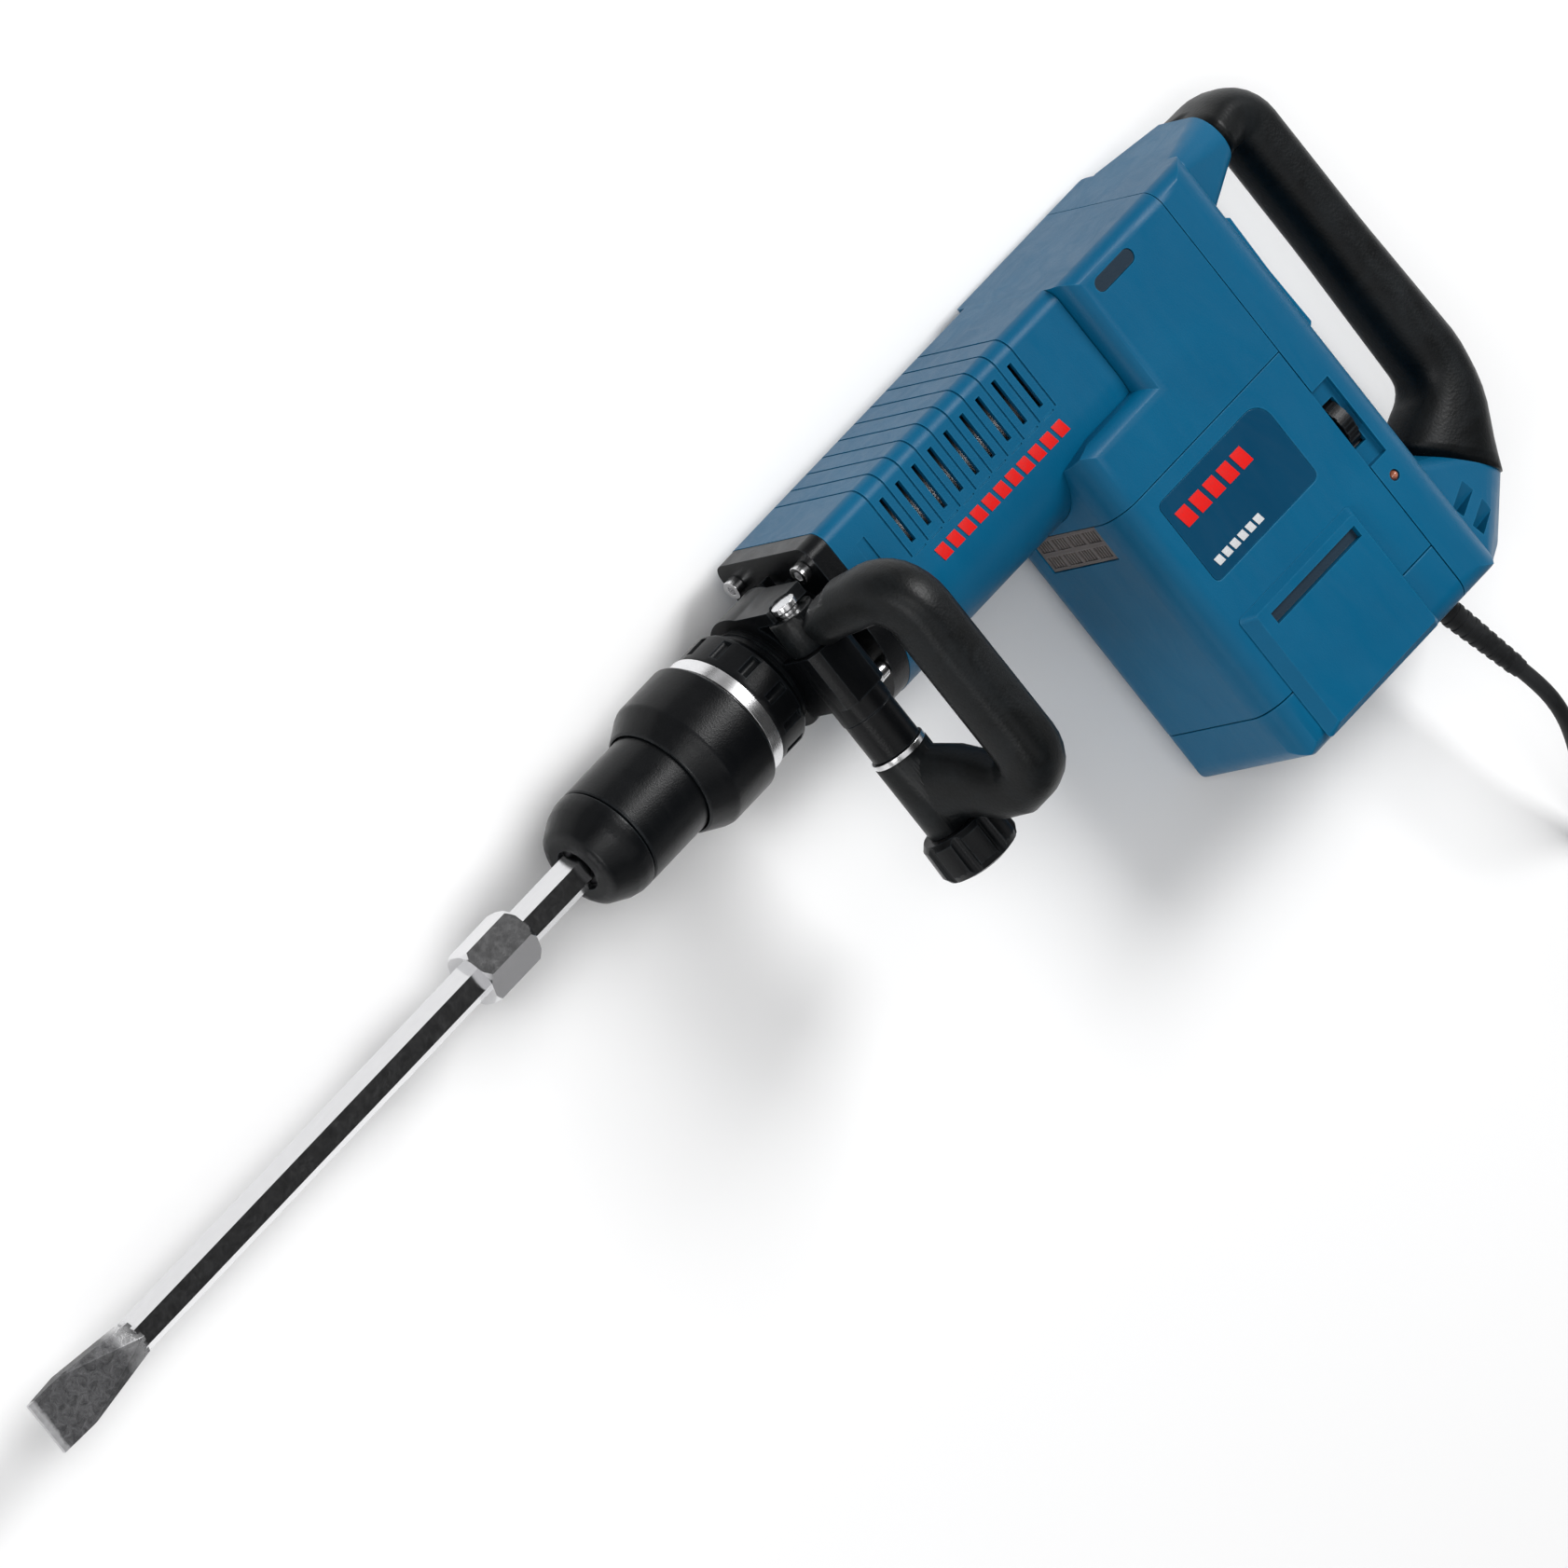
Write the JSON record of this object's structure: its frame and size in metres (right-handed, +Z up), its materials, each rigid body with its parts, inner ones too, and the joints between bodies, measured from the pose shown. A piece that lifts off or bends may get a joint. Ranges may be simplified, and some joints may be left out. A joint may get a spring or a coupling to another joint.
{
  "type": "electric jackhammer",
  "caption": "Corded electric demolition hammer with a motor block below its barrel, a rear grip, a swivelling side handle and a flat chisel, lying on its side.",
  "frame": {"origin": "under the middle of the tool, on the surface it lies on, with its strain relief but not its cable counted", "axes": "+X along the tool axis towards the chisel; +Y from the top of the barrel towards the bottom of the motor; +Z up, out of the tool's left side"},
  "size_m": [1.0975, 0.596, 0.193],
  "materials": {
    "blue_shell": "fine matte texture",
    "blue_switch": "smooth satin",
    "black_grip": "soft satin",
    "black_plastic": "satin",
    "dark_plastic": "matte",
    "grey_plastic": "matte",
    "badge_blue": "semi-gloss",
    "red_print": "printed",
    "silver_print": "printed",
    "lamp_lens": "clear tinted",
    "circuit_board": "coated",
    "bright_steel": "plated",
    "chisel_steel": "polished bar with a dark forged blade",
    "hardened_steel": "ground",
    "alloy": "cast",
    "motor_iron": "laminated, with copper windings",
    "brass": "pressed",
    "carbon": "sintered",
    "seal_rubber": "matte",
    "cable_rubber": "matte",
    "tie_plastic": "woven"
  },
  "bodies": {
    "casing": {"barrel_cover": "blue_shell", "gear_housing": "blue_shell", "motor_housing": "blue_shell", "bottom_cap": "blue_shell", "side_cover_left": "blue_shell", "side_cover_right": "blue_shell", "rear_housing": "blue_shell", "rear_grip": "black_grip", "service_lamp": "lamp_lens", "vent_grille": "grey_plastic", "recess_inserts": "dark_plastic", "name_badge": "badge_blue", "badge_marks": "red_print", "model_marks": "silver_print", "barrel_marks": "red_print", "neck_housing": "black_plastic", "flange_screws": "bright_steel", "cylinder_tube": "hardened_steel", "crankcase": "alloy", "ball_bearings": "bright_steel", "stator": "motor_iron", "brush_holders": "brass", "carbon_brushes": "carbon", "switch_module": "black_plastic", "speed_module": "circuit_board", "strain_relief": "seal_rubber", "mains_cable": "cable_rubber", "cable_coil": "cable_rubber", "coil_tie": "tie_plastic", "plug_body": "black_plastic", "plug_pins": "bright_steel"},
    "tool_holder": {"dust_cap": "black_plastic", "lock_collar": "black_plastic", "steel_ring": "bright_steel", "index_ring": "black_plastic", "holder_tube": "hardened_steel", "locking_rollers": "bright_steel", "sleeve_spring": "bright_steel"},
    "sleeve": {"locking_sleeve": "black_plastic"},
    "chisel": {"chisel": "chisel_steel"},
    "beat_piece": {"beat_piece": "hardened_steel"},
    "striker": {"striker": "hardened_steel", "striker_ring": "seal_rubber"},
    "piston": {"piston": "alloy", "piston_ring": "seal_rubber"},
    "crank": {"crankshaft": "hardened_steel", "crank_gear": "hardened_steel"},
    "rod": {"connecting_rod": "hardened_steel", "wrist_pin": "hardened_steel"},
    "motor_rotor": {"armature": "motor_iron", "motor_pinion": "hardened_steel", "cooling_fan": "black_plastic"},
    "handle_clamp": {"clamp_collar": "black_plastic", "clamp_bolt": "bright_steel", "leg_tube": "black_plastic", "leg_washer": "bright_steel"},
    "side_handle": {"side_handle": "black_grip"},
    "clamp_knob": {"clamp_knob": "black_plastic"},
    "switch_paddle": {"switch_paddle": "blue_switch"},
    "speed_wheel": {"speed_wheel": "black_plastic"}
  },
  "joints": [
    {"name": "tool_holder_turn", "type": "hinge", "parent": "casing", "child": "tool_holder", "pos_m": [-0.02, -0.12812, 0.063], "axis": [1, 0, 0], "continuous": true},
    {"name": "locking_sleeve_slide", "type": "slide", "parent": "tool_holder", "child": "sleeve", "axis": [-1, 0, 0], "range_m": [0, 0.012], "stiffness_N_per_m": 1500, "springref_m": -0.008, "deforming": ["sleeve_spring"]},
    {"name": "chisel_slide", "type": "slide", "parent": "tool_holder", "child": "chisel", "axis": [1, 0, 0], "range_m": [0, 0.02]},
    {"name": "beat_piece_slide", "type": "slide", "parent": "casing", "child": "beat_piece", "axis": [1, 0, 0], "range_m": [-0.006, 0.0025]},
    {"name": "striker_slide", "type": "slide", "parent": "casing", "child": "striker", "axis": [1, 0, 0], "range_m": [-0.02, 0.009]},
    {"name": "piston_slide", "type": "slide", "parent": "casing", "child": "piston", "axis": [1, 0, 0], "range_m": [-0.02, 0]},
    {"name": "crank_spin", "type": "hinge", "parent": "casing", "child": "crank", "pos_m": [-0.37, -0.08812, 0.063], "axis": [0, 1, 0], "continuous": true},
    {"name": "rod_swing", "type": "hinge", "parent": "crank", "child": "rod", "pos_m": [-0.36, -0.12812, 0.063], "axis": [0, 1, 0], "continuous": true},
    {"name": "motor_spin", "type": "hinge", "parent": "casing", "child": "motor_rotor", "pos_m": [-0.33437, 0.02188, 0.063], "axis": [0, 1, 0], "continuous": true},
    {"name": "side_handle_swivel", "type": "hinge", "parent": "casing", "child": "handle_clamp", "pos_m": [-0.09, -0.12812, 0.063], "axis": [1, 0, 0], "range_deg": [-180, 180]},
    {"name": "side_handle_fold", "type": "hinge", "parent": "handle_clamp", "child": "side_handle", "pos_m": [-0.09, -0.06812, 0.108], "axis": [0, 1, 0], "range_deg": [-10, 60]},
    {"name": "clamp_knob_turn", "type": "hinge", "parent": "handle_clamp", "child": "clamp_knob", "pos_m": [-0.09, 0.00188, 0.108], "axis": [0, 1, 0], "continuous": true},
    {"name": "switch_rock", "type": "hinge", "parent": "casing", "child": "switch_paddle", "pos_m": [-0.439, -0.08612, 0.063], "axis": [0, 0, 1], "range_deg": [-3, 3]},
    {"name": "speed_wheel_turn", "type": "hinge", "parent": "casing", "child": "speed_wheel", "pos_m": [-0.4155, -0.00812, 0.103], "axis": [1, 0, 0], "range_deg": [0, 300]}
  ],
  "couplings": [
    {"joint": "motor_spin", "follows": "crank_spin", "ratio": -5.3333},
    {"joint": "rod_swing", "follows": "crank_spin", "ratio": -1}
  ]
}
